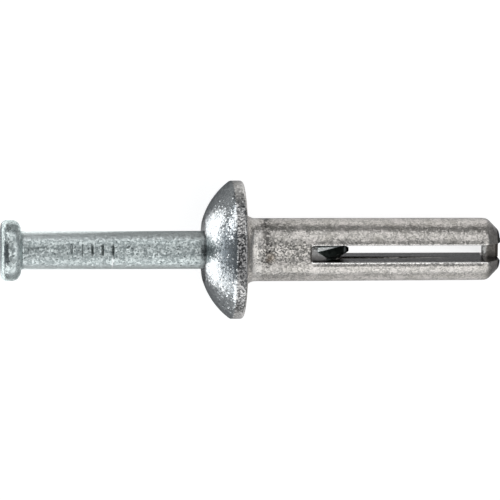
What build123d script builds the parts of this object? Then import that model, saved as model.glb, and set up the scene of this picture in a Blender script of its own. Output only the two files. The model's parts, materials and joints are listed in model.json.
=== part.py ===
from build123d import *
from math import atan2, cos, degrees, radians, sin, sqrt
import os

# Hammer drive anchor, all sizes in millimetres.
# One die-cast body with a mushroom head and a split shank, and one steel drive pin standing part way in.
# Both are drawn with their axis along X and X = 0 at the underside of the head, tip towards +X.
# At the end they are set down together on the rim of the head and the toe of the shank.

os.makedirs("parts", exist_ok=True)

# Shank of the anchor body: a straight barrel, then legs with a slight draft down to the tapered toe
shank_dia = 6.24
shank_length = 25.4
barrel_length = 6.0
leg_end_dia = 6.16
root_fillet = 1.25
tip_taper_length = 1.2
tip_end_dia = 3.7
toe_rounding = 0.9
tip_end_rounding = 0.6

# Mushroom head of the anchor body
head_dia = 13.65
head_height = 3.95
crown_dia = 6.05
dome_bulge = 0.38
rim_height = 1.27
rim_top_rounding = 0.5
rim_rounding = 0.3

# Slot that splits the shank into two legs, cut straight through from top to bottom
slot_width = 1.65
slot_start = 6.55
slot_corner = 0.35
slot_edge_rounding = 0.12

# Thin web that ties the two legs together at the tip
web_length = 1.6
web_thickness = 0.9
web_offset = 0.75

# Drive pin
pin_dia = 3.75
pin_length = 34.4
pin_stand_out = 17.99
pin_head_dia = 6.02
pin_head_thickness = 1.96
pin_face_rounding = 0.6
pin_underside_rounding = 0.9
pin_neck_fillet = 0.2
point_length = 3.35
point_flat = 0.3
point_turn = 28.0

# Gripper marks left on two sides of the pin by the heading machine
mark_count = 5
mark_pitch = 1.02
mark_width = 0.22
mark_depth = 0.12
mark_middle = -15.0
mark_turn = 9.5

# Bore of the anchor body, wide for the pin and then tapered so that the pin spreads the legs
pin_clearance = 0.05
seat_clearance = 0.15
guide_dia = 2.15
guide_end_dia = 1.6
guide_stop = 0.7

# How far a cutter passes the surface that it opens, and how often the lean is bettered
overrun = 1.0
lean_steps = 4

# Sizes that follow from the ones above
shank_r = shank_dia / 2
leg_end_r = leg_end_dia / 2
head_r = head_dia / 2
crown_r = crown_dia / 2
tip_end_r = tip_end_dia / 2
pin_r = pin_dia / 2
pin_head_r = pin_head_dia / 2
pin_face = -(head_height + pin_stand_out + pin_head_thickness)
pin_neck = pin_face + pin_head_thickness
pin_tip = pin_face + pin_length
taper_start = shank_length - tip_taper_length
web_start = shank_length - web_length

# Slope of the point's four flats, and the station where its corners leave the round pin
flat_slope = (pin_r - point_flat / 2) / point_length
corner_slope = flat_slope * sqrt(2)
corner_start = pin_tip - (pin_r / sqrt(2) - point_flat / 2) / flat_slope

# The bore's shoulder is parallel to the corners of the point that it stops
bore_r = pin_r + pin_clearance
shoulder_start = corner_start + seat_clearance
shoulder_end = shoulder_start + (bore_r - guide_dia / 2) / corner_slope
guide_end = web_start - guide_stop

# Anchor body: the solid of revolution first, then its slot, web and bore
with BuildPart() as anchor_body:
    with BuildSketch(Plane.XZ) as body_profile:
        with BuildLine() as body_line:
            crown = Line((-head_height, 0), (-head_height, crown_r))
            dome = SagittaArc(crown @ 1, (-rim_height, head_r), dome_bulge)
            rim = Line(dome @ 1, (0, head_r))
            underside = Line(rim @ 1, (0, shank_r))
            barrel = Line(underside @ 1, (barrel_length, shank_r))
            leg = Line(barrel @ 1, (taper_start, leg_end_r))
            taper = Line(leg @ 1, (shank_length, tip_end_r))
            Polyline(taper @ 1, (shank_length, 0), crown @ 0)
        make_face()
        for corner, rounding in (
            (dome @ 1, rim_top_rounding),
            (rim @ 1, rim_rounding),
            (underside @ 1, root_fillet),
            (leg @ 1, toe_rounding),
            (taper @ 1, tip_end_rounding),
        ):
            fillet(body_profile.vertices().sort_by_distance(corner)[0], radius=rounding)
    revolve(axis=Axis.X)

    # The slot runs out through the tip
    with BuildSketch(Plane.XY) as slot_plan:
        slot_run = shank_length + overrun - slot_start
        with Locations((slot_start + slot_run / 2, 0)):
            Rectangle(slot_run, slot_width)
        fillet(slot_plan.vertices().group_by(Axis.X)[0], radius=slot_corner)
    extrude(amount=shank_dia, both=True, mode=Mode.SUBTRACT)
    long_edges = anchor_body.edges(Select.LAST).filter_by(lambda edge: edge.length > shank_dia + overrun)
    fillet(long_edges, radius=slot_edge_rounding)

    # The web lies across the slot, flush with the tip, with a full round nose towards the head
    nose_middle = web_start + web_thickness / 2
    web_run = shank_length - nose_middle
    with BuildSketch(Plane.XZ):
        with Locations((nose_middle + web_run / 2, -web_offset)):
            Rectangle(web_run, web_thickness)
        with Locations((nose_middle, -web_offset)):
            Circle(web_thickness / 2)
    extrude(amount=slot_width / 2, both=True)

    # The bore is open at the crown
    with BuildSketch(Plane.XZ):
        with BuildLine():
            Polyline(
                (-head_height - overrun, 0),
                (-head_height - overrun, bore_r),
                (shoulder_start, bore_r),
                (shoulder_end, guide_dia / 2),
                (guide_end, guide_end_dia / 2),
                (guide_end, 0),
                close=True,
            )
        make_face()
    revolve(axis=Axis.X, mode=Mode.SUBTRACT)

# Point of the pin: a four-sided wedge trimmed to the pin's round
point_root = pin_tip - point_length - overrun
root_width = point_flat + 2 * flat_slope * (point_length + overrun)
with BuildPart() as pin_point:
    with BuildSketch(Plane.YZ.offset(point_root)):
        Rectangle(root_width, root_width, rotation=-point_turn)
    with BuildSketch(Plane.YZ.offset(pin_tip)):
        Rectangle(point_flat, point_flat, rotation=-point_turn)
    loft()
    with BuildSketch(Plane.YZ.offset(point_root)):
        Circle(pin_r)
    extrude(amount=point_length + overrun, mode=Mode.INTERSECT)

# Drive pin: head and shank turned as one, then the point and the gripper marks
with BuildPart() as drive_pin:
    with BuildSketch(Plane.XZ) as pin_profile:
        with BuildLine():
            face = Line((pin_face, 0), (pin_face, pin_head_r))
            edge = Line(face @ 1, (pin_neck, pin_head_r))
            neck = Line(edge @ 1, (pin_neck, pin_r))
            Polyline(neck @ 1, (point_root, pin_r), (point_root, 0), face @ 0)
        make_face()
        for corner, rounding in (
            (face @ 1, pin_face_rounding),
            (edge @ 1, pin_underside_rounding),
            (neck @ 1, pin_neck_fillet),
        ):
            fillet(pin_profile.vertices().sort_by_distance(corner)[0], radius=rounding)
    revolve(axis=Axis.X)
    add(pin_point.part)

    mark_angle = radians(mark_turn)
    mark_normal = (0, -cos(mark_angle), sin(mark_angle))
    with BuildSketch(Plane(origin=(0, 0, 0), x_dir=(1, 0, 0), z_dir=mark_normal)):
        with Locations((mark_middle, 0)):
            with GridLocations(mark_pitch, pin_dia, mark_count, 2):
                Ellipse(mark_width / 2, mark_depth)
    extrude(amount=pin_r, both=True, mode=Mode.SUBTRACT)

# Set the part down: lean the axis until the head's rim and the toe's slot edges touch one floor
mid_shank = Plane.YZ.offset(shank_length / 2)
head_end = split(anchor_body.part, bisect_by=mid_shank, keep=Keep.BOTTOM)
toe_end = split(anchor_body.part, bisect_by=mid_shank, keep=Keep.TOP)
lean = atan2(head_r - leg_end_r, taper_start)
for step in range(lean_steps):
    leaning = Rotation(0, degrees(lean), 0)
    head_low = (leaning * head_end).bounding_box().min.Z
    toe_low = (leaning * toe_end).bounding_box().min.Z
    lean += atan2(toe_low - head_low, taper_start)

# Stand the middle of the leaning part's box on the origin
leaning = Rotation(0, degrees(lean), 0)
lying_box = Compound([leaning * anchor_body.part, leaning * drive_pin.part]).bounding_box()
middle = lying_box.center()
place = Location((-middle.X, -middle.Y, -lying_box.min.Z)) * leaning

anchor_body.part.move(place)
anchor_body.part.label = "anchor_body"
export_step(anchor_body.part, "parts/anchor_body.step")

drive_pin.part.move(place)
drive_pin.part.label = "drive_pin"
export_step(drive_pin.part, "parts/drive_pin.step")

head_seat = place.position
print(f"axis leans {degrees(lean):.6f} degrees, tip down")
print(f"underside of the head at {head_seat.X:.5f}, {head_seat.Y:.5f}, {head_seat.Z:.5f}")
print(f"pin from {pin_face:.2f} to {pin_tip:.2f}, point corners from {corner_start:.2f}")
print(f"bore shoulder from {shoulder_start:.2f} to {shoulder_end:.2f}")
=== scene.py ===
"""Looks of a hammer drive anchor: its cast zinc body, its plated steel pin and a plain studio."""

import json
import logging
from dataclasses import dataclass, field
from enum import Enum
from math import atan2, cos, pi, radians, sin
from typing import Optional, Union

import bmesh
import bpy
from mathutils import Matrix, Vector


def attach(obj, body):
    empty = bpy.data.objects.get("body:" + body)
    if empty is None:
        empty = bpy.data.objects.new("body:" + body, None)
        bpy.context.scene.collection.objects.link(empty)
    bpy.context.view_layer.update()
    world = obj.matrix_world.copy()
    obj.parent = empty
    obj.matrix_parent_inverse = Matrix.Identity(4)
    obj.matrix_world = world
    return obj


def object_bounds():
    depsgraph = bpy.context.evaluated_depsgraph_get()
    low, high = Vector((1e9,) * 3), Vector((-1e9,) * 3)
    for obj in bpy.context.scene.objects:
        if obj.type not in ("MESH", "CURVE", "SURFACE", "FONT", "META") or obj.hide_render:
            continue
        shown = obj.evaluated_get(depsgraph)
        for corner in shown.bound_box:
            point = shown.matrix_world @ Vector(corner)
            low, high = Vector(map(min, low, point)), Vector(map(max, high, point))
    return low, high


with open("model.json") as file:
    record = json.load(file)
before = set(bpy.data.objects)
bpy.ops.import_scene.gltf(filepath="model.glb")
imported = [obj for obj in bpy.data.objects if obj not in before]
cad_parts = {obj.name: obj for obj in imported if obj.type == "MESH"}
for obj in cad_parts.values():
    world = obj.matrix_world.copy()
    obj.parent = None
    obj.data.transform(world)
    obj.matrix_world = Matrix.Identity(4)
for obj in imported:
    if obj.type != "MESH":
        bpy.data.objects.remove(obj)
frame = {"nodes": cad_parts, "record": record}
cad_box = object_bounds()

MM = 0.001
log = logging.getLogger("hammer_drive_anchor")

Socket = bpy.types.NodeSocket
Triple = tuple[float, float, float]
Colour = tuple[float, float, float, float]
Feed = Union[Socket, float, Triple, Colour, Vector]

WHITE: Colour = (1, 1, 1, 1)

# Added to a normal, this turns it up and towards the light over the tip
TO_TIP_LIGHT: Triple = (1.5, 0.0, 3.2)

# The middle of the flakes' random colours
MID_FLAKE: Triple = (0.5, 0.5, 0.5)


class Body(Enum):
    """Bodies that a piece can ride on."""

    ANCHOR = "root"


class Node(Enum):
    """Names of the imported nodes."""

    BODY = "anchor_body"
    PIN = "drive_pin"


class Output(Enum):
    """Kinds of a tree's last node."""

    MATERIAL = "OutputMaterial"
    WORLD = "OutputWorld"


class Mixed(Enum):
    """What a Mix node mixes: its data type, and the numbers of its two inputs and its output."""

    COLOURS = ("RGBA", 6, 7, 2)
    NUMBERS = ("FLOAT", 2, 3, 0)


@dataclass(frozen=True)
class Lie:
    """How the anchor lies: the seat under its head, and the directions of its axis."""

    seat: Vector
    along: Vector
    side: Vector
    top: Vector

    @classmethod
    def from_mounts(cls, mounts: list[dict]) -> "Lie":
        """Reads the lie from the record's mounts.

        Args:
            mounts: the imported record's mounts, with the shank and the bearing face among them.

        Returns:
            The lie, with the seat on the axis at the underside of the head.
        """
        named = {mount["name"]: mount for mount in mounts}
        along = Vector(named["shank"]["axis"]).normalized()
        on_axis = Vector(named["shank"]["pos_m"])
        on_face = Vector(named["bearing_face"]["pos_m"])
        seat = on_axis + along * (on_face - on_axis).dot(along)
        side = Vector((0, 1, 0))
        return cls(seat=seat, along=along, side=side, top=along.cross(side))

    @property
    def lean(self) -> float:
        """Angle in radians by which the tip end of the axis points down."""
        return atan2(-self.along.z, self.along.x)

    def outward(self, turn: float) -> Vector:
        """Direction square to the axis, turned by degrees from the top towards +Y."""
        angle = radians(turn)
        return self.top * cos(angle) + self.side * sin(angle)

    def point(self, station: float) -> Vector:
        """Point on the axis at a station in millimetres from the underside of the head."""
        return self.seat + self.along * (station * MM)


@dataclass(frozen=True)
class Sizes:
    """Sizes that the finishes follow, in millimetres, with stations from the underside of the head."""

    crown: float = -3.95
    rim_start: float = -1.1
    shank_r: float = 3.12
    slot_start: float = 6.55
    slot_half: float = 0.825
    web_start: float = 23.8
    toe_start: float = 24.2
    tip: float = 25.4
    pin_face: float = -23.9
    point_start: float = 7.29
    pin_tip: float = 10.5


SIZES = Sizes()


@dataclass(frozen=True)
class Ramp:
    """A smooth change from start to end, while a value goes from low to high."""

    low: float
    high: float
    start: float = 0.0
    end: float = 1.0


@dataclass(frozen=True)
class Band:
    """A stretch from low to high where a mask has its strength, with soft sides."""

    low: float
    high: float
    soft: float
    strength: float = 1.0


@dataclass(frozen=True)
class Noise:
    """A noise's scale, its detail and its roughness."""

    scale: float
    detail: float = 2.0
    rough: float = 0.5


@dataclass(frozen=True)
class Places:
    """Where a point of the surface lies, in millimetres: along the axis, across it, above and beside it."""

    space: Socket
    station: Socket
    across: Socket
    height: Socket
    beside: Socket


class NodeBoard:
    """A material's or world's node tree, with short ways to add and join nodes."""

    def __init__(self, tree: bpy.types.NodeTree) -> None:
        """Clears the tree.

        Args:
            tree: the node tree of a material or a world.
        """
        self.tree = tree
        tree.nodes.clear()

    def add(self, kind: str, settings: Optional[dict] = None, **sockets: Feed) -> bpy.types.Node:
        """Adds a node.

        Args:
            kind: the node's type, without the ShaderNode prefix.
            settings: the node's own properties.
            **sockets: input values or links, by input name with spaces as underscores.

        Returns:
            The new node.
        """
        node = self.tree.nodes.new("ShaderNode" + kind)
        for name, value in (settings or {}).items():
            setattr(node, name, value)
        for name, value in sockets.items():
            self.feed(node.inputs[name.replace("_", " ")], value)
        return node

    def feed(self, socket: Socket, value: Feed) -> None:
        """Links a socket to an output, or sets its value.

        Args:
            socket: the input.
            value: an output to link, or a plain value to set.
        """
        if isinstance(value, Socket):
            self.tree.links.new(value, socket)
        else:
            socket.default_value = value

    def sums(self, operation: str, first: Feed, second: Feed = 0.0) -> Socket:
        """Joins two numbers with a Math node.

        Args:
            operation: the node's operation.
            first: the first number.
            second: the second number, where the operation takes two.

        Returns:
            The result.
        """
        node = self.add("Math", {"operation": operation})
        self.feed(node.inputs[0], first)
        self.feed(node.inputs[1], second)
        return node.outputs[0]

    def vectors(self, operation: str, first: Feed, second: Feed = (0.0, 0.0, 0.0)) -> Socket:
        """Joins two vectors with a Vector Math node.

        Args:
            operation: the node's operation.
            first: the first vector.
            second: the second vector, where the operation takes two.

        Returns:
            The resulting vector.
        """
        node = self.add("VectorMath", {"operation": operation})
        self.feed(node.inputs[0], first)
        self.feed(node.inputs[1], second)
        return node.outputs[0]

    def scaled(self, vector: Feed, factor: Feed) -> Socket:
        """Scales a vector.

        Args:
            vector: the vector.
            factor: the number that it is scaled by.

        Returns:
            The scaled vector.
        """
        node = self.add("VectorMath", {"operation": "SCALE"}, Scale=factor)
        self.feed(node.inputs[0], vector)
        return node.outputs[0]

    def product(self, *factors: Feed) -> Socket:
        """Multiplies numbers.

        Args:
            *factors: the numbers.

        Returns:
            Their product.
        """
        result = factors[0]
        for factor in factors[1:]:
            result = self.sums("MULTIPLY", result, factor)
        return result

    def total(self, *terms: Feed) -> Socket:
        """Adds numbers up.

        Args:
            *terms: the numbers.

        Returns:
            Their sum.
        """
        result = terms[0]
        for term in terms[1:]:
            result = self.sums("ADD", result, term)
        return result

    def distance(self, first: Feed, second: Feed) -> Socket:
        """Length of a slanted line, from its two sides."""
        return self.sums("SQRT", self.total(self.sums("POWER", first, 2.0), self.sums("POWER", second, 2.0)))

    def sloped(self, value: Feed, along: Feed, slope: float) -> Socket:
        """A value plus a slope times how far along."""
        return self.total(value, self.product(along, slope))

    def ramp(self, value: Feed, change: Ramp, around: float = 0.0) -> Socket:
        """Maps a value smoothly.

        Args:
            value: the value.
            change: the ramp that maps it.
            around: the place from which the ramp's low and high are measured.

        Returns:
            The mapped value.
        """
        node = self.add("MapRange", {"interpolation_type": "SMOOTHSTEP"}, Value=value)
        ends = {"From Min": around + change.low, "From Max": around + change.high,
                "To Min": change.start, "To Max": change.end}
        for name, number in ends.items():
            node.inputs[name].default_value = number
        return node.outputs["Result"]

    def band(self, value: Feed, stretch: Band, around: float = 0.0) -> Socket:
        """Masks a stretch of a value.

        Args:
            value: the value.
            stretch: the band that is masked.
            around: the place from which the band's low and high are measured.

        Returns:
            The band's strength inside it, and 0 outside.
        """
        rising = Ramp(stretch.low - stretch.soft, stretch.low + stretch.soft)
        falling = Ramp(stretch.high + stretch.soft, stretch.high - stretch.soft, 0.0, stretch.strength)
        return self.product(self.ramp(value, rising, around), self.ramp(value, falling, around))

    def noise(self, vector: Socket, kind: Noise) -> Socket:
        """Adds a noise texture and returns its factor."""
        node = self.add("TexNoise", Vector=vector, Scale=kind.scale, Detail=kind.detail, Roughness=kind.rough)
        return node.outputs["Fac"]

    def flakes(self, vector: Socket, scale: float) -> tuple[Socket, Socket]:
        """Adds random flakes, and returns a colour and one number for each."""
        colour = self.add("TexVoronoi", Vector=vector, Scale=scale).outputs["Color"]
        return colour, self.add("SeparateXYZ", Vector=colour).outputs["X"]

    def blend(self, factor: Feed, first: Feed, second: Feed, kind: Mixed = Mixed.COLOURS) -> Socket:
        """Mixes two colours or two numbers.

        Args:
            factor: the share of the second.
            first: the first.
            second: the second.
            kind: what they are.

        Returns:
            The mixed colour or number.
        """
        data_type, first_input, second_input, result = kind.value
        node = self.add("Mix", {"data_type": data_type}, Factor=factor)
        self.feed(node.inputs[first_input], first)
        self.feed(node.inputs[second_input], second)
        return node.outputs[result]

    def places(self, lie: Lie) -> Places:
        """Turns object coordinates into places along the axis.

        Args:
            lie: how the anchor lies.

        Returns:
            The places, in millimetres from the seat under the head.
        """
        place = self.add("TexCoord").outputs["Object"]
        mapping = self.add("Mapping", {"vector_type": "TEXTURE"}, Vector=place)
        mapping.inputs["Location"].default_value = lie.seat
        mapping.inputs["Rotation"].default_value = (0, lie.lean, 0)
        mapping.inputs["Scale"].default_value = (MM, MM, MM)
        space = mapping.outputs["Vector"]
        station, across, height = self.add("SeparateXYZ", Vector=space).outputs
        return Places(space, station, across, height, self.sums("ABSOLUTE", across))

    def lit_up(self, normal: Socket, mask: Socket) -> Socket:
        """Turns a normal to the light over the tip where a mask is 1."""
        return self.vectors("ADD", normal, self.scaled(TO_TIP_LIGHT, mask))

    def faceted(self, normal: Socket, flakes: Socket, tilt: Feed) -> Socket:
        """Tilts a normal at random, each flake its own way.

        Args:
            normal: the normal.
            flakes: a random colour for each flake.
            tilt: how far the flakes tilt.

        Returns:
            The tilted normal.
        """
        centred = self.vectors("SUBTRACT", flakes, MID_FLAKE)
        leaning = self.scaled(centred, tilt)
        straight = self.vectors("NORMALIZE", normal)
        return self.vectors("NORMALIZE", self.vectors("ADD", straight, leaning))

    def show(self, shader: bpy.types.Node, kind: Output = Output.MATERIAL) -> None:
        """Joins a shader to the tree's output."""
        output = self.add(kind.value)
        self.feed(output.inputs["Surface"], shader.outputs[0])


def new_material(name: str) -> tuple[bpy.types.Material, NodeBoard]:
    """Makes a material with an empty node tree.

    Args:
        name: the material's name.

    Returns:
        The material and the board of its tree.
    """
    made = bpy.data.materials.new(name)
    made.use_nodes = True
    return made, NodeBoard(made.node_tree)


@dataclass(frozen=True)
class Grains:
    """The casting's random patterns: flakes, one number for each, and noises from fine to broad."""

    flakes: Socket
    grain: Socket
    specks: Socket
    patches: Socket
    blotch: Socket


@dataclass(frozen=True)
class ShankSkin:
    """Colours of the shank: speckle, faint blotches, a pale ring at the root and dark patches beside it.

    Places are stations, but the toe's are from its start and the end's from the tip.
    """

    pale: Colour = (0.64, 0.61, 0.575, 1)
    dark: Colour = (0.26, 0.25, 0.235, 1)
    leg_dark: Colour = (0.50, 0.48, 0.45, 1)
    speckle: Ramp = Ramp(0.0, 0.95)
    calming: Ramp = Ramp(3.0, 8.0, 0.0, 0.30)
    blotch_dark: Colour = (0.40, 0.38, 0.345, 1)
    dark_blotches: Ramp = Ramp(0.50, 0.68, 0.0, 0.45)
    blotch_pale: Colour = (0.68, 0.64, 0.61, 1)
    pale_blotches: Ramp = Ramp(0.48, 0.34, 0.0, 0.5)
    root_shade: Ramp = Ramp(6.0, 2.5, 0.0, 0.22)
    root_pale: Colour = (0.80, 0.78, 0.75, 1)
    root_ring: Band = Band(0.75, 1.6, 0.15, 0.3)
    root_dark: Colour = (0.10, 0.095, 0.09, 1)
    root_patch: Band = Band(1.75, 2.6, 0.3, 0.9)
    root_patchy: Ramp = Ramp(0.42, 0.56)
    root_side: Ramp = Ramp(-2.0, -0.8)
    brownish: Colour = (0.34, 0.27, 0.20, 1)
    brownish_run: Band = Band(2.1, 2.9, 0.25, 0.45)
    brownish_width: Band = Band(-0.7, 0.1, 0.25)
    # Painted shade on the toe's taper and at the very end
    toe_shade: Colour = (0.15, 0.145, 0.14, 1)
    toe: Ramp = Ramp(-0.3, 0.5, 0.0, 0.6)
    end_shade: Colour = (0.02, 0.02, 0.02, 1)
    end: Band = Band(-0.28, -0.02, 0.04, 0.85)

    def paint(self, board: NodeBoard, at: Places, grains: Grains) -> Socket:
        """Colours the shank.

        Args:
            board: the material's board.
            at: the places on the surface.
            grains: the casting's patterns.

        Returns:
            The shank's colour.
        """
        dark = board.blend(board.ramp(at.station, self.calming), self.dark, self.leg_dark)
        tone = board.blend(board.ramp(grains.grain, self.speckle), dark, self.pale)
        tone = board.blend(board.ramp(grains.blotch, self.dark_blotches), tone, self.blotch_dark)
        tone = board.blend(board.ramp(grains.blotch, self.pale_blotches), tone, self.blotch_pale)
        tone = board.blend(board.ramp(at.station, self.root_shade), tone, self.dark)
        tone = board.blend(board.band(at.station, self.root_ring), tone, self.root_pale)
        patch = board.product(
            board.band(at.station, self.root_patch),
            board.ramp(grains.patches, self.root_patchy),
            board.ramp(at.across, self.root_side),
        )
        tone = board.blend(patch, tone, self.root_dark)
        # A brownish patch near the root
        brownish_patch = board.product(
            board.band(at.station, self.brownish_run),
            board.band(at.across, self.brownish_width),
        )
        tone = board.blend(brownish_patch, tone, self.brownish)
        # Painted shade: the toe's taper darker, and the very end nearly black
        tone = board.blend(board.ramp(at.station, self.toe, SIZES.toe_start), tone, self.toe_shade)
        return board.blend(board.band(at.station, self.end, SIZES.tip), tone, self.end_shade)


@dataclass(frozen=True)
class SlotSkin:
    """Colours in and beside the slot: painted shade on the walls and the web's face, a painted highlight
    along the edges with a dark strip beside them, and the web.

    Stations are from the slot's start, its web or the toe, widths from the slot's walls, depths from the
    shank's skin, and heights and sides from the axis.
    """

    # Painted shade, for the walls, the web's face and the start of the slot
    dark: Colour = (0.036, 0.028, 0.021, 1)
    past_start: Ramp = Ramp(-0.05, 0.1)
    before_web: Ramp = Ramp(0.05, -0.05)
    between_walls: Ramp = Ramp(0.05, 0.0)
    wall_depth: Ramp = Ramp(-0.12, -0.85, 0.1, 1.0)
    sunk_shade: Colour = (0.012, 0.011, 0.010, 1)
    sunk: Ramp = Ramp(0.9, -0.3, 0.0, 0.6)
    deep_shade: Colour = (0.004, 0.004, 0.004, 1)
    deep: Ramp = Ramp(-2.1, -2.4, 0.0, 0.9)
    nose_grey: Colour = (0.30, 0.30, 0.295, 1)
    nose_start: Ramp = Ramp(-0.1, 0.0)
    nose_end: Ramp = Ramp(0.60, 0.30)
    nose_width: Ramp = Ramp(0.0, -0.1)
    web_face: Ramp = Ramp(0.3, 0.55, 0.0, 0.6)
    web_width: Ramp = Ramp(0.05, -0.05)
    on_skin: Ramp = Ramp(-0.30, -0.10)
    # Painted highlight along the slot's edges
    edge_highlight: Colour = (0.90, 0.89, 0.87, 1)
    edge_start: Ramp = Ramp(-0.15, 0.15)
    edge_stop: Ramp = Ramp(0.0, -0.4)
    edge_width: Band = Band(-0.02, 0.13, 0.02)
    edge_broken: Ramp = Ramp(0.25, 0.40, 0.7, 1.0)
    edge_side: Ramp = Ramp(-0.5, 0.5, 1.0, 0.55)
    strip_dark: Colour = (0.15, 0.145, 0.138, 1)
    strip_start: Ramp = Ramp(0.1, 0.4)
    strip_stop: Ramp = Ramp(-0.3, -0.8)
    strip_width: Band = Band(0.17, 0.44, 0.04)
    strip_broken: Ramp = Ramp(0.9, 0.3, 0.6, 1.0)
    strip_side: Ramp = Ramp(-0.5, 0.5, 1.0, 0.4)
    lip_dark: Colour = (0.05, 0.05, 0.05, 1)
    lip_start: Ramp = Ramp(-0.3, 0.2)
    lip_width: Ramp = Ramp(0.65, 0.15, 0.0, 0.6)
    shade: Band = Band(-0.14, 0.02, 0.03, 0.8)
    shade_width: Ramp = Ramp(0.05, -0.1)

    def walls(self, board: NodeBoard, at: Places, radius: Socket, tone: Socket) -> tuple[Socket, Socket]:
        """Paints shade on the slot's walls, the darker the deeper they go, colours the web's nose, and paints
        shade on its face.

        Args:
            board: the material's board.
            at: the places on the surface.
            radius: the distance from the axis.
            tone: the colour so far.

        Returns:
            The colour with the walls and the web, and the mask of the web's nose.
        """
        # Painted shade on the slot's walls, darker the lower they lie
        inside = board.product(
            board.ramp(at.station, self.past_start, SIZES.slot_start),
            board.ramp(at.station, self.before_web, SIZES.web_start),
            board.ramp(at.beside, self.between_walls, SIZES.slot_half),
            board.ramp(radius, self.wall_depth, SIZES.shank_r),
        )
        tone = board.blend(inside, tone, self.dark)
        sunk = board.product(inside, board.ramp(at.height, self.sunk))
        tone = board.blend(sunk, tone, self.sunk_shade)
        deep = board.product(inside, board.ramp(at.height, self.deep))
        tone = board.blend(deep, tone, self.deep_shade)
        nose = board.product(
            board.ramp(at.station, self.nose_start, SIZES.web_start),
            board.ramp(at.station, self.nose_end, SIZES.web_start),
            board.ramp(at.beside, self.nose_width, SIZES.slot_half),
        )
        tone = board.blend(nose, tone, self.nose_grey)
        # Painted shade on the web's face
        face = board.product(
            board.ramp(at.station, self.web_face, SIZES.web_start),
            board.ramp(at.beside, self.web_width, SIZES.slot_half),
        )
        return board.blend(face, tone, self.dark), nose

    def edges(self, board: NodeBoard, at: Places, radius: Socket, grain: Socket,
              tone: Socket) -> tuple[Socket, Socket]:
        """Colours a painted highlight along the slot's edges, a dark strip beside them and the dark lip at
        the toe.

        Args:
            board: the material's board.
            at: the places on the surface.
            radius: the distance from the axis.
            grain: one random number for each flake.
            tone: the colour so far.

        Returns:
            The colour with the edges, and the mask of the painted highlight.
        """
        on_skin = board.ramp(radius, self.on_skin, SIZES.shank_r)
        # Painted highlight along the slot's edges, stronger on one side
        rubs_and_painted_light = board.product(
            board.ramp(at.station, self.edge_start, SIZES.slot_start),
            board.ramp(at.station, self.edge_stop, SIZES.toe_start),
            board.band(at.beside, self.edge_width, SIZES.slot_half),
            board.ramp(grain, self.edge_broken),
            board.ramp(at.across, self.edge_side),
            on_skin,
        )
        # A dark strip beside the slot's edges, broken up by the grain
        dark_strip = board.product(
            board.ramp(at.station, self.strip_start, SIZES.slot_start),
            board.ramp(at.station, self.strip_stop, SIZES.toe_start),
            board.band(at.beside, self.strip_width, SIZES.slot_half),
            board.ramp(grain, self.strip_broken),
            board.ramp(at.across, self.strip_side),
            on_skin,
        )
        tone = board.blend(dark_strip, tone, self.strip_dark)
        lip = board.product(
            board.ramp(at.station, self.lip_start, SIZES.toe_start),
            board.ramp(at.beside, self.lip_width, SIZES.slot_half),
            on_skin,
        )
        tone = board.blend(lip, tone, self.lip_dark)
        shaded = board.product(
            board.band(at.station, self.shade, SIZES.slot_start),
            board.ramp(at.beside, self.shade_width, SIZES.slot_half),
        )
        tone = board.blend(shaded, tone, self.dark)
        return board.blend(rubs_and_painted_light, tone, self.edge_highlight), rubs_and_painted_light


@dataclass(frozen=True)
class HeadSkin:
    """Colours of the head: a tumbled dome, a pitted rim whose dark tone is partly painted shade, with more in
    its middle and painted light at its ends, and a crown darkened with painted shade, with rubbed specks.

    The rim's and the crown's stations are from their own, and widths are from the axis.
    """

    bright: Colour = (0.90, 0.93, 0.935, 1)
    dull: Colour = (0.28, 0.31, 0.345, 1)
    dulling: Ramp = Ramp(0.8, 0.0, 0.0, 0.5)
    rim: Ramp = Ramp(-0.15, 0.12)
    rim_dull_and_shade: Colour = (0.14, 0.14, 0.14, 1)
    rim_bright: Colour = (0.62, 0.61, 0.60, 1)
    rim_pits: Ramp = Ramp(0.25, 0.75)
    rim_end_light: Colour = (0.84, 0.82, 0.79, 1)
    rim_end_lighting: Ramp = Ramp(5.0, 6.0, 0.0, 0.8)
    rim_middle_shade: Colour = (0.12, 0.12, 0.125, 1)
    rim_middle_shading: Ramp = Ramp(3.0, 1.2, 0.0, 0.65)
    crown: Ramp = Ramp(0.16, 0.04)
    crown_shade: Colour = (0.17, 0.175, 0.18, 1)
    crown_bright: Colour = (0.5, 0.5, 0.5, 1)
    crown_rubs: Ramp = Ramp(0.52, 0.62)

    def paint(self, board: NodeBoard, at: Places, grains: Grains) -> tuple[Socket, Socket]:
        """Colours the head.

        Args:
            board: the material's board.
            at: the places on the surface.
            grains: the casting's patterns.

        Returns:
            The head's colour, and the mask of its rim.
        """
        rim = board.ramp(at.station, self.rim, SIZES.rim_start)
        dome = board.blend(board.ramp(grains.grain, self.dulling), self.bright, self.dull)
        # The rim's pits are darker than the dome, partly as painted shade for its dark reflections; painted
        # light on its two ends, and painted shade in its middle
        pitted = board.blend(board.ramp(grains.grain, self.rim_pits), self.rim_dull_and_shade, self.rim_bright)
        pitted = board.blend(board.ramp(at.beside, self.rim_end_lighting), pitted, self.rim_end_light)
        pitted = board.blend(board.ramp(at.beside, self.rim_middle_shading), pitted, self.rim_middle_shade)
        tone = board.blend(rim, dome, pitted)
        # Painted shade on the crown, standing for a dark reflection, with rubbed specks over it
        crown = board.ramp(at.station, self.crown, SIZES.crown)
        rubs_and_painted_light = board.blend(board.ramp(grains.specks, self.crown_rubs), self.crown_shade, self.crown_bright)
        return board.blend(crown, tone, rubs_and_painted_light), rim


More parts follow.
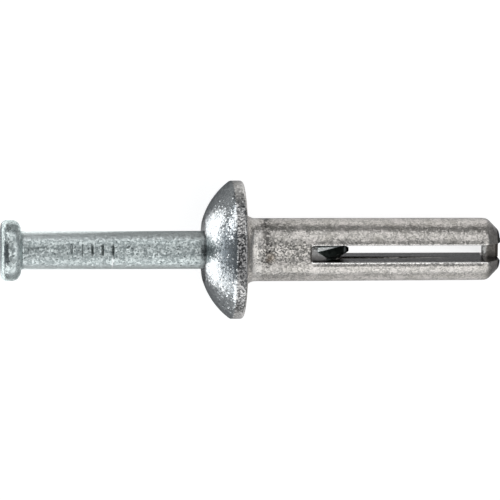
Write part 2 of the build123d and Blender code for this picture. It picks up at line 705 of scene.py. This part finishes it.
@dataclass(frozen=True)
class CastZinc:
    """As-cast zinc alloy: a speckled satin shank, and a head tumbled bright. Places are in millimetres."""

    lie: Lie
    shank: ShankSkin = ShankSkin()
    slot: SlotSkin = SlotSkin()
    head: HeadSkin = HeadSkin()
    flake_scale: float = 7.2
    speck_noise: Noise = Noise(6.5, 1.0)
    patch_noise: Noise = Noise(2.3, 2.0, 0.6)
    blotch_noise: Noise = Noise(0.8)
    glancing: Colour = (0.53, 0.535, 0.55, 1)
    on_head: Ramp = Ramp(-0.05, -0.2)
    shank_gloss: Ramp = Ramp(0.1, 0.9, 0.38, 0.29)
    highlight_gloss: float = -0.12
    head_gloss: Ramp = Ramp(0.35, 0.65, 0.13, 0.24)
    rim_gloss: float = 0.14
    slot_run: Ramp = Ramp(0.0, 0.05)
    slot_width: Ramp = Ramp(0.06, 0.0)
    still_in_slot: Ramp = Ramp(0.0, 1.0, 1.0, 0.1)
    wave_strength: Ramp = Ramp(3.0, 8.0, 0.25, 0.12)
    wave_depth: float = 0.05 * MM
    shank_tilt: Ramp = Ramp(3.0, 8.0, 0.09, 0.03)
    head_tilt: float = 0.05
    rim_tilt: float = 0.14
    nose_tilt: float = 0.25
    fleck_run: Band = Band(-2.9, -1.2, 0.3, 0.5)
    flecks: Ramp = Ramp(0.70, 0.85)

    def material(self) -> bpy.types.Material:
        """Builds the material.

        Returns:
            A material for the anchor body, in its axis space.
        """
        made, board = new_material("cast_zinc_finish")
        at = board.places(self.lie)
        flakes, grain = board.flakes(at.space, self.flake_scale)
        grains = Grains(
            flakes, grain,
            specks=board.noise(at.space, self.speck_noise),
            patches=board.noise(at.space, self.patch_noise),
            blotch=board.noise(at.space, self.blotch_noise),
        )
        radius = board.distance(at.across, at.height)
        shank_tone = self.shank.paint(board, at, grains)
        shank_tone, nose = self.slot.walls(board, at, radius, shank_tone)
        shank_tone, rubs_and_painted_light = self.slot.edges(board, at, radius, grain, shank_tone)
        head_tone, rim = self.head.paint(board, at, grains)
        on_head = board.ramp(at.station, self.on_head)
        shader = board.add(
            "BsdfPrincipled",
            Base_Color=board.blend(on_head, shank_tone, head_tone),
            Roughness=self.gloss(board, grains, on_head, rim, rubs_and_painted_light),
            Metallic=1.0,
            Specular_Tint=self.glancing,
            Normal=self.normal(board, at, grains, on_head, rim, nose),
        )
        board.show(shader)
        return made

    def gloss(self, board: NodeBoard, grains: Grains, on_head: Socket, rim: Socket, rubs_and_painted_light: Socket) -> Socket:
        """Roughness of the casting.

        Args:
            board: the material's board.
            grains: the casting's patterns.
            on_head: the mask of the head.
            rim: the mask of the rim.
            rubs_and_painted_light: the mask of the painted highlight along the slot's edges.

        Returns:
            The roughness.
        """
        shank = board.sloped(board.ramp(grains.grain, self.shank_gloss), rubs_and_painted_light, self.highlight_gloss)
        head = board.sloped(board.ramp(grains.patches, self.head_gloss), rim, self.rim_gloss)
        return board.blend(on_head, shank, head, Mixed.NUMBERS)

    def normal(self, board: NodeBoard, at: Places, grains: Grains, on_head: Socket, rim: Socket,
               nose: Socket) -> Socket:
        """Uneven normal of the casting, nearly still on the slot's walls.

        Args:
            board: the material's board.
            at: the places on the surface.
            grains: the casting's patterns.
            on_head: the mask of the head.
            rim: the mask of the rim.
            nose: the mask of the web's nose.

        Returns:
            The normal.
        """
        in_slot = board.product(
            board.ramp(at.station, self.slot_run, SIZES.slot_start),
            board.ramp(at.beside, self.slot_width, SIZES.slot_half),
        )
        lively = board.ramp(in_slot, self.still_in_slot)
        waves = board.add(
            "Bump",
            Strength=board.product(lively, board.ramp(at.station, self.wave_strength)),
            Distance=self.wave_depth,
            Height=grains.patches,
        )
        tilt = board.sloped(board.ramp(at.station, self.shank_tilt), on_head, self.head_tilt)
        tilt = board.sloped(tilt, rim, self.rim_tilt)
        flecks = board.product(board.band(at.station, self.fleck_run), board.ramp(grains.grain, self.flecks))
        tilt = board.total(board.product(lively, tilt), board.product(nose, self.nose_tilt), flecks)
        return board.faceted(board.lit_up(waves.outputs["Normal"], nose), grains.flakes, tilt)


@dataclass(frozen=True)
class GripperMarks:
    """Dark tone in and beside the gripper marks, broken up by the grain. In millimetres, and degrees of turn.
    """

    middle: float = -15.0
    pitch: float = 1.02
    turn: float = 9.5
    half_width: float = 0.21
    # The darkest part of a mark, as a share of the pitch
    core: float = 0.04
    run: Band = Band(-2.55, 2.55, 0.05)
    length: Ramp = Ramp(0.62, 0.37)
    broken: Ramp = Ramp(0.8, 0.4, 0.75, 1.0)
    first_two: Ramp = Ramp(-0.6, -0.4, 0.4, 1.0)

    def mask(self, board: NodeBoard, at: Places, grain: Socket) -> Socket:
        """Masks the marks.

        Args:
            board: the material's board.
            at: the places on the surface.
            grain: one random number for each flake.

        Returns:
            The mask, fainter on the first two marks.
        """
        turn = radians(self.turn)
        turned = board.sloped(board.product(at.across, cos(turn)), at.height, -sin(turn))
        steps = board.sums("DIVIDE", board.sums("SUBTRACT", at.station, self.middle), self.pitch)
        off_step = board.sums("ABSOLUTE", board.sums("SUBTRACT", steps, board.sums("ROUND", steps)))
        return board.product(
            board.ramp(off_step, Ramp(self.half_width / self.pitch, self.core)),
            board.band(at.station, self.run, self.middle),
            board.ramp(board.sums("ABSOLUTE", turned), self.length),
            board.ramp(grain, self.broken),
            board.ramp(at.station, self.first_two, self.middle),
        )


@dataclass(frozen=True)
class PointSkin:
    """Colours of the pin's point, which shows in the slot.

    Stations are from where its flats start, but the tip's are from the tip.
    """

    neck_shade: Colour = (0.30, 0.30, 0.295, 1)
    neck_start: Ramp = Ramp(-0.99, -0.89)
    neck_end: Ramp = Ramp(0.01, -0.09)
    lower_slope: float = 0.65
    upper_slope: float = -0.13
    edge_slope: float = 0.02
    flat_dark: Colour = (0.045, 0.055, 0.05, 1)
    flat_run: Band = Band(0.01, 2.71, 0.08)
    flat_upper: Ramp = Ramp(0.12, 0.02)
    flat_lower: Ramp = Ramp(-0.05, 0.03)
    smear_grey: Colour = (0.50, 0.49, 0.48, 1)
    smear_run: Band = Band(-0.79, 0.86, 0.08)
    smear_lower: Ramp = Ramp(0.0, -0.06)
    smear_metal: float = -0.9
    lit_facet_pale: Colour = (0.66, 0.67, 0.66, 1)
    lit_facet_run: Band = Band(-0.02, 2.51, 0.06)
    lit_facet_lower: Ramp = Ramp(0.05, 0.12)
    lit_facet_upper: Ramp = Ramp(0.48, 0.42)
    lit_facet_fading: Ramp = Ramp(0.71, 2.11, 1.0, 0.25)
    lit_facet_streaks: Ramp = Ramp(0.30, 0.55, 0.6, 1.0)
    streak_stretch: Triple = (0.7, 5.0, 5.0)
    streak_noise: Noise = Noise(1.0, 1.0)
    tip_black: Colour = (0.02, 0.02, 0.02, 1)
    tip: Ramp = Ramp(-0.4, -0.2)

    def paint(self, board: NodeBoard, at: Places, tone: Socket) -> tuple[Socket, Socket, Socket]:
        """Colours the point.

        Args:
            board: the material's board.
            at: the places on the surface.
            tone: the pin's colour so far.

        Returns:
            The colour with the point, how metallic the pin is, and the mask of the patch with the painted
            highlight.
        """
        from_start = board.sums("SUBTRACT", at.station, SIZES.point_start)
        lower = board.sloped(at.across, from_start, self.lower_slope)
        upper = board.sloped(at.across, from_start, self.upper_slope)
        edge = board.sloped(at.across, from_start, self.edge_slope)
        # Painted shade on the wire just before the point, where it lies in the slot
        neck = board.product(board.ramp(from_start, self.neck_start), board.ramp(from_start, self.neck_end))
        tone = board.blend(neck, tone, self.neck_shade)
        shadowed = board.product(
            board.band(from_start, self.flat_run),
            board.ramp(upper, self.flat_upper),
            board.ramp(lower, self.flat_lower),
        )
        tone = board.blend(shadowed, tone, self.flat_dark)
        smeared = board.product(board.band(from_start, self.smear_run), board.ramp(lower, self.smear_lower))
        tone = board.blend(smeared, tone, self.smear_grey)
        streaks = board.noise(board.vectors("MULTIPLY", at.space, self.streak_stretch), self.streak_noise)
        # Painted highlight: a pale patch on a facet of the point, whose normal is also turned to the light
        # over the tip
        lit_facet = board.product(
            board.band(from_start, self.lit_facet_run),
            board.ramp(upper, self.lit_facet_lower),
            board.ramp(edge, self.lit_facet_upper),
            board.ramp(from_start, self.lit_facet_fading),
            board.ramp(streaks, self.lit_facet_streaks),
        )
        tone = board.blend(lit_facet, tone, self.lit_facet_pale)
        tone = board.blend(board.ramp(at.station, self.tip, SIZES.pin_tip), tone, self.tip_black)
        return tone, board.sloped(1.0, smeared, self.smear_metal), lit_facet


@dataclass(frozen=True)
class PlatedSteel:
    """Zinc-plated steel wire, cool grey and mottled, with fine dark specks. Places are in millimetres.

    The wire's start and the struck face are from the pin's face.
    """

    lie: Lie
    gripper_marks: GripperMarks = GripperMarks()
    point: PointSkin = PointSkin()
    flake_scale: float = 6.5
    mottle_noise: Noise = Noise(1.5, 3.0, 0.65)
    speck_noise: Noise = Noise(4.2, 1.0)
    tilt_noise: Noise = Noise(0.9, 1.0)
    pale: Colour = (0.70, 0.76, 0.75, 1)
    dull: Colour = (0.42, 0.475, 0.475, 1)
    dulling: Ramp = Ramp(0.15, 0.85)
    cloud: Colour = (0.40, 0.44, 0.44, 1)
    clouds: Ramp = Ramp(0.42, 0.62, 0.0, 0.45)
    speck: Colour = (0.10, 0.12, 0.12, 1)
    specks: Ramp = Ramp(0.64, 0.70, 0.0, 0.8)
    flank_light: Colour = (0.94, 0.98, 0.97, 1)
    flank_lighting: Ramp = Ramp(1.0, 1.6, 0.0, 0.65)
    wire_start: Ramp = Ramp(2.0, 2.4)
    wire_end: Ramp = Ramp(4.0, 3.0)
    seam_run: Band = Band(-21.4, -16.8, 0.4, 0.6)
    seam_width: Band = Band(0.36, 0.58, 0.12)
    seam_broken: Ramp = Ramp(0.40, 0.55)
    ring_highlight: Colour = (0.95, 0.95, 0.95, 1)
    ring_run: Band = Band(-13.03, -12.90, 0.03, 0.75)
    ring_side: Ramp = Ramp(-0.1, -0.7)
    glancing: Colour = (0.85, 0.90, 0.90, 1)
    wire_gloss: Ramp = Ramp(0.2, 0.8, 0.56, 0.36)
    struck_face: Ramp = Ramp(0.8, 0.5)
    struck_gloss: float = -0.2
    wave_strength: float = 0.4
    wave_depth: float = 0.05 * MM
    tilt: Ramp = Ramp(0.40, 0.62, 0.26, 0.14)

    def material(self) -> bpy.types.Material:
        """Builds the material.

        Returns:
            A material for the drive pin, in its axis space.
        """
        made, board = new_material("zinc_plated_steel_finish")
        at = board.places(self.lie)
        flakes, grain = board.flakes(at.space, self.flake_scale)
        mottle = board.noise(at.space, self.mottle_noise)
        tone = self.wire(board, at, grain, mottle)
        tone, metal, lit_facet = self.point.paint(board, at, tone)
        struck = board.ramp(at.station, self.struck_face, SIZES.pin_face)
        waves = board.add("Bump", Strength=self.wave_strength, Distance=self.wave_depth, Height=mottle)
        tilt = board.ramp(board.noise(at.space, self.tilt_noise), self.tilt)
        shader = board.add(
            "BsdfPrincipled",
            Base_Color=tone,
            Roughness=board.sloped(board.ramp(grain, self.wire_gloss), struck, self.struck_gloss),
            Metallic=metal,
            Specular_Tint=self.glancing,
            Normal=board.faceted(board.lit_up(waves.outputs["Normal"], lit_facet), flakes, tilt),
        )
        board.show(shader)
        return made

    def wire(self, board: NodeBoard, at: Places, grain: Socket, mottle: Socket) -> Socket:
        """Colours the wire: clouds, specks and painted light on the flanks, then a dark seam, gripper marks
        and a ring with a painted highlight.

        Args:
            board: the material's board.
            at: the places on the surface.
            grain: one random number for each flake.
            mottle: a broad noise.

        Returns:
            The wire's colour.
        """
        tone = board.blend(board.ramp(grain, self.dulling), self.dull, self.pale)
        tone = board.blend(board.ramp(mottle, self.clouds), tone, self.cloud)
        specks = board.noise(at.space, self.speck_noise)
        tone = board.blend(board.ramp(specks, self.specks), tone, self.speck)
        # Painted light on the wire's flanks
        lit_flank = board.product(
            board.ramp(at.beside, self.flank_lighting),
            board.ramp(at.station, self.wire_start, SIZES.pin_face),
            board.ramp(at.station, self.wire_end),
        )
        tone = board.blend(lit_flank, tone, self.flank_light)
        seam = board.product(
            board.band(at.station, self.seam_run),
            board.band(at.across, self.seam_width),
            board.ramp(mottle, self.seam_broken),
        )
        tone = board.blend(seam, tone, self.speck)
        tone = board.blend(self.gripper_marks.mask(board, at, grain), tone, self.speck)
        # Painted highlight: a white line on one side of a ring around the wire
        ring = board.product(board.band(at.station, self.ring_run), board.ramp(at.across, self.ring_side))
        return board.blend(ring, tone, self.ring_highlight)


@dataclass(frozen=True)
class GateNub:
    """The broken-off stub of the casting gate on the end of one leg, in millimetres."""

    lie: Lie
    across: float = 1.02
    height: float = 0.85
    radius: float = 0.28
    end_radius: float = 0.224
    stand_out: float = 0.11
    sunk: float = 0.3
    rounding: float = 0.05
    sides: int = 20
    rounding_steps: int = 3
    worn: float = 0.12
    slant: float = 0.05
    # Where the worn end begins, as a share of the length past the middle
    worn_from: float = 0.25

    def build(self, finish: bpy.types.Material) -> bpy.types.Object:
        """Builds the nub as a rounded stub sunk into the leg's end.

        Args:
            finish: the material that it gets.

        Returns:
            The nub, which rides on the anchor.
        """
        shape = bmesh.new()
        length = self.stand_out + self.sunk
        bmesh.ops.create_cone(shape, cap_ends=True, segments=self.sides, radius1=self.radius,
                              radius2=self.end_radius, depth=length)
        outer = [edge for edge in shape.edges if all(vert.co.z > 0 for vert in edge.verts)]
        bmesh.ops.bevel(shape, geom=outer, offset=self.rounding, segments=self.rounding_steps, affect="EDGES",
                        profile=0.5, material=-1)
        for vert in shape.verts:
            if vert.co.z > length * self.worn_from:
                vert.co.z -= self.worn * (vert.co.x / self.radius) ** 2 + self.slant * vert.co.y / self.radius
        bmesh.ops.transform(shape, matrix=self.place(length), verts=shape.verts)
        bmesh.ops.recalc_face_normals(shape, faces=shape.faces)
        mesh = bpy.data.meshes.new("gate_nub")
        shape.to_mesh(mesh)
        shape.free()
        for polygon in mesh.polygons:
            polygon.use_smooth = True
        nub = bpy.data.objects.new("gate_nub", mesh)
        bpy.context.scene.collection.objects.link(nub)
        mesh.materials.append(finish)
        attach(nub, Body.ANCHOR.value)
        log.info("built %s", nub.name)
        return nub

    def place(self, length: float) -> Matrix:
        """Where the stub stands, from its own millimetres to the frame's metres.

        Args:
            length: the stub's whole length in millimetres.

        Returns:
            The matrix that puts it on the leg's end, with its outer end past the tip.
        """
        middle = self.lie.point(SIZES.tip + self.stand_out - length / 2)
        middle += (self.lie.side * self.across + self.lie.top * self.height) * MM
        turned = Matrix((self.lie.top, self.lie.side, self.lie.along)).transposed().to_4x4()
        placed = turned @ Matrix.Scale(MM, 4)
        placed.translation = middle
        return placed


@dataclass(frozen=True)
class Paper:
    """White paper: white to the camera, and graded in the metal, bright before the crown. In metres."""

    own_light: float = 0.80
    albedo: float = 0.42
    wedge_tip: float = 0.006
    wedge_spread: float = 0.85
    wedge_edge: Ramp = Ramp(-0.002, 0.003)
    crown_glow: float = 1.35
    nail_head_x: float = -0.027
    nail_head_clear: Ramp = Ramp(0.003, 0.0055)
    shank_run: Band = Band(-0.001, 0.026, 0.002, 0.85)
    shank_width: Ramp = Ramp(0.026, 0.022)
    tip_glow: Ramp = Ramp(0.026, 0.030, 0.0, 0.12)

    def material(self) -> bpy.types.Material:
        """Builds the paper's material.

        Returns:
            A material for the floor.
        """
        made, board = new_material("white_paper")
        rays = board.add("LightPath")
        straight = board.sums("MAXIMUM", rays.outputs["Is Camera Ray"], rays.outputs["Is Transmission Ray"])
        strength = board.total(board.product(straight, self.own_light),
                               board.product(rays.outputs["Is Glossy Ray"], self.graded(board)))
        sheet = board.add("BsdfDiffuse", Color=(self.albedo, self.albedo, self.albedo, 1))
        light = board.add("Emission", Color=WHITE, Strength=strength)
        both = board.add("AddShader")
        board.feed(both.inputs[0], sheet.outputs[0])
        board.feed(both.inputs[1], light.outputs[0])
        board.show(both)
        return made

    def graded(self, board: NodeBoard) -> Socket:
        """Level of the paper in the metal: a wedge before the crown, a strip beside the shank, and the tip.

        Args:
            board: the paper's board.

        Returns:
            The level.
        """
        x, y, _ = board.add("SeparateXYZ", Vector=board.add("TexCoord").outputs["Object"]).outputs
        beside = board.sums("ABSOLUTE", y)
        ahead = board.sums("SUBTRACT", board.product(x, -1.0), self.wedge_tip)
        into_wedge = board.sums("SUBTRACT", board.product(ahead, self.wedge_spread), beside)
        wedge = board.ramp(into_wedge, self.wedge_edge)
        from_nail_head = board.distance(board.sums("SUBTRACT", x, self.nail_head_x), y)
        before_crown = board.product(wedge, board.ramp(from_nail_head, self.nail_head_clear), self.crown_glow)
        shank = board.product(board.band(x, self.shank_run), board.ramp(beside, self.shank_width))
        ends = board.sums("MAXIMUM", before_crown, board.ramp(x, self.tip_glow))
        return board.sums("MAXIMUM", ends, shank)


@dataclass(frozen=True)
class Softbox:
    """A flat light aimed at the anchor from an azimuth, measured from +X, and an elevation. In metres."""

    name: str
    azimuth: float
    elevation: float
    width: float
    height: float
    radiance: float
    distance: float = 0.5

    def place(self, middle: Vector) -> bpy.types.Object:
        """Adds the light.

        Args:
            middle: the point that the light is aimed at.

        Returns:
            The light's object.
        """
        azimuth, elevation = radians(self.azimuth), radians(self.elevation)
        level = Vector((cos(azimuth), sin(azimuth), 0))
        away = level * cos(elevation) + Vector((0, 0, sin(elevation)))
        across = Vector((-sin(azimuth), cos(azimuth), 0))
        data = bpy.data.lights.new(self.name, "AREA")
        data.shape = "RECTANGLE"
        data.size = self.width
        data.size_y = self.height
        data.energy = self.radiance * pi * self.width * self.height
        light = bpy.data.objects.new(self.name, data)
        bpy.context.scene.collection.objects.link(light)
        turned = Matrix((across, away.cross(across), away)).transposed().to_4x4()
        turned.translation = middle + away * self.distance
        light.matrix_world = turned
        log.info("lit %s", self.name)
        return light


@dataclass(frozen=True)
class Flag:
    """A low card beyond the anchor, hidden from the camera, that darkens one line in the metal. In metres."""

    beyond: float = 0.028
    length: float = 0.30
    height: float = 0.0115
    black: Colour = (0.02, 0.02, 0.02, 1)
    grey: Colour = (0.30, 0.31, 0.31, 1)
    greying: Ramp = Ramp(-0.004, -0.010)

    def stand(self, floor_height: float) -> bpy.types.Object:
        """Stands the card on the floor, black beside the body and grey beside the pin.

        Args:
            floor_height: the floor's height in metres.

        Returns:
            The card's object.
        """
        shape = bmesh.new()
        bmesh.ops.create_grid(shape, x_segments=1, y_segments=1, size=0.5)
        upright = Matrix.Translation((0, self.beyond, floor_height + self.height / 2))
        upright @= Matrix.Rotation(pi / 2, 4, "X") @ Matrix.Diagonal((self.length, self.height, 1, 1))
        bmesh.ops.transform(shape, matrix=upright, verts=shape.verts)
        mesh = bpy.data.meshes.new("black_card")
        shape.to_mesh(mesh)
        shape.free()
        made, board = new_material("black_card")
        x = board.add("SeparateXYZ", Vector=board.add("TexCoord").outputs["Object"]).outputs["X"]
        tone = board.blend(board.ramp(x, self.greying), self.black, self.grey)
        board.show(board.add("BsdfDiffuse", Color=tone))
        mesh.materials.append(made)
        flag = bpy.data.objects.new("black_card", mesh)
        bpy.context.scene.collection.objects.link(flag)
        flag.visible_camera = False
        flag.visible_shadow = False
        flag.visible_diffuse = False
        return flag


@dataclass(frozen=True)
class Studio:
    """The plain pale floor, the soft lights, the dim room and the camera."""

    lie: Lie
    horizon: Ramp = Ramp(0.05, 0.40, 0.42, 0.12)
    before_crown: Ramp = Ramp(-0.84, -0.96, 1.0, 1.15)
    room_colour: Colour = (0.88, 0.96, 1.03, 1)
    floor_size: float = 0.6
    picture_width_mm: float = 49.33
    view_dip: float = 5.3
    view_turn: float = 9.6
    view_roll: float = 0.2
    lens: float = 600.0
    sensor: float = 36.0
    clip_end: float = 10.0
    centre_station_mm: float = 0.73
    centre_drop_mm: float = 0.035
    flag: Flag = Flag()
    paper: Paper = Paper()
    softboxes: tuple[Softbox, ...] = field(default_factory=lambda: (
        Softbox("far_softbox", azimuth=90.0, elevation=27.0, width=0.8, height=0.32, radiance=1.15),
        Softbox("near_softbox", azimuth=-90.0, elevation=24.0, width=0.8, height=0.42, radiance=1.25),
        Softbox("crown_far_softbox", azimuth=148.0, elevation=9.0, width=0.24, height=0.12, radiance=1.4),
        Softbox("crown_near_softbox", azimuth=212.0, elevation=9.0, width=0.24, height=0.12, radiance=0.55),
        Softbox("tip_softbox", azimuth=0.0, elevation=50.0, width=0.6, height=0.40, radiance=1.5),
    ))

    def lay_floor(self) -> bpy.types.Object:
        """Lays the floor under the anchor's lowest point, and stands the card on it.

        Returns:
            The floor's object.
        """
        floor_height = cad_box[0].z
        bpy.ops.mesh.primitive_plane_add(size=self.floor_size, location=(0, 0, floor_height))
        floor = bpy.context.object
        floor.name = "floor"
        floor.data.materials.append(self.paper.material())
        self.flag.stand(floor_height)
        return floor

    def light_room(self) -> None:
        """Sets the room, paler at the horizon and white to the camera, and places the softboxes."""
        world = bpy.data.worlds.new("room")
        bpy.context.scene.world = world
        world.use_nodes = True
        board = NodeBoard(world.node_tree)
        way = board.add("SeparateXYZ", Vector=board.add("TexCoord").outputs["Generated"])
        level = board.product(board.ramp(way.outputs["Z"], self.horizon),
                              board.ramp(way.outputs["X"], self.before_crown))
        seen = board.add("LightPath").outputs["Is Camera Ray"]
        room = board.add("Background", Color=board.blend(seen, self.room_colour, WHITE),
                         Strength=board.sums("MAXIMUM", level, seen))
        board.show(room, Output.WORLD)
        for softbox in self.softboxes:
            softbox.place(self.lie.point(self.centre_station_mm))

    def set_camera(self) -> bpy.types.Object:
        """Sets the camera square to the photograph's view of the anchor.

        Returns:
            The camera, which is the scene's camera.
        """
        dip, roll = radians(self.view_dip), radians(self.view_roll)
        facing = self.lie.outward(self.view_turn)
        toward = facing * cos(dip) - self.lie.along * sin(dip)
        level = self.lie.along * cos(dip) + facing * sin(dip)
        upright = toward.cross(level)
        right = level * cos(roll) - upright * sin(roll)
        up = toward.cross(right)
        middle = self.lie.point(self.centre_station_mm) - up * (self.centre_drop_mm * MM)
        data = bpy.data.cameras.new("camera")
        data.lens = self.lens
        data.sensor_width = self.sensor
        data.clip_end = self.clip_end
        camera = bpy.data.objects.new("camera", data)
        bpy.context.scene.collection.objects.link(camera)
        turned = Matrix((right, up, toward)).transposed().to_4x4()
        turned.translation = middle + toward * (self.picture_width_mm * MM * self.lens / self.sensor)
        camera.matrix_world = turned
        bpy.context.scene.camera = camera
        return camera


def dress(node: Node, finish: bpy.types.Material) -> None:
    """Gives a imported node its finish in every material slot.

    Args:
        node: the node to dress.
        finish: the material that it gets.
    """
    piece = frame["nodes"][node.value]
    for slot in piece.material_slots:
        slot.material = finish
    log.info("dressed %s with %s", node.value, finish.name)


def main() -> None:
    """Dresses the anchor and builds its studio, in order."""
    logging.basicConfig(level=logging.INFO, format="%(name)s: %(message)s")
    bpy.context.scene.view_settings.view_transform = "Standard"
    lie = Lie.from_mounts(frame["record"]["mounts"])
    zinc = CastZinc(lie).material()
    dress(Node.BODY, zinc)
    dress(Node.PIN, PlatedSteel(lie).material())
    GateNub(lie).build(zinc)
    studio = Studio(lie)
    studio.lay_floor()
    studio.light_room()
    studio.set_camera()


if __name__ == "__main__":
    main()
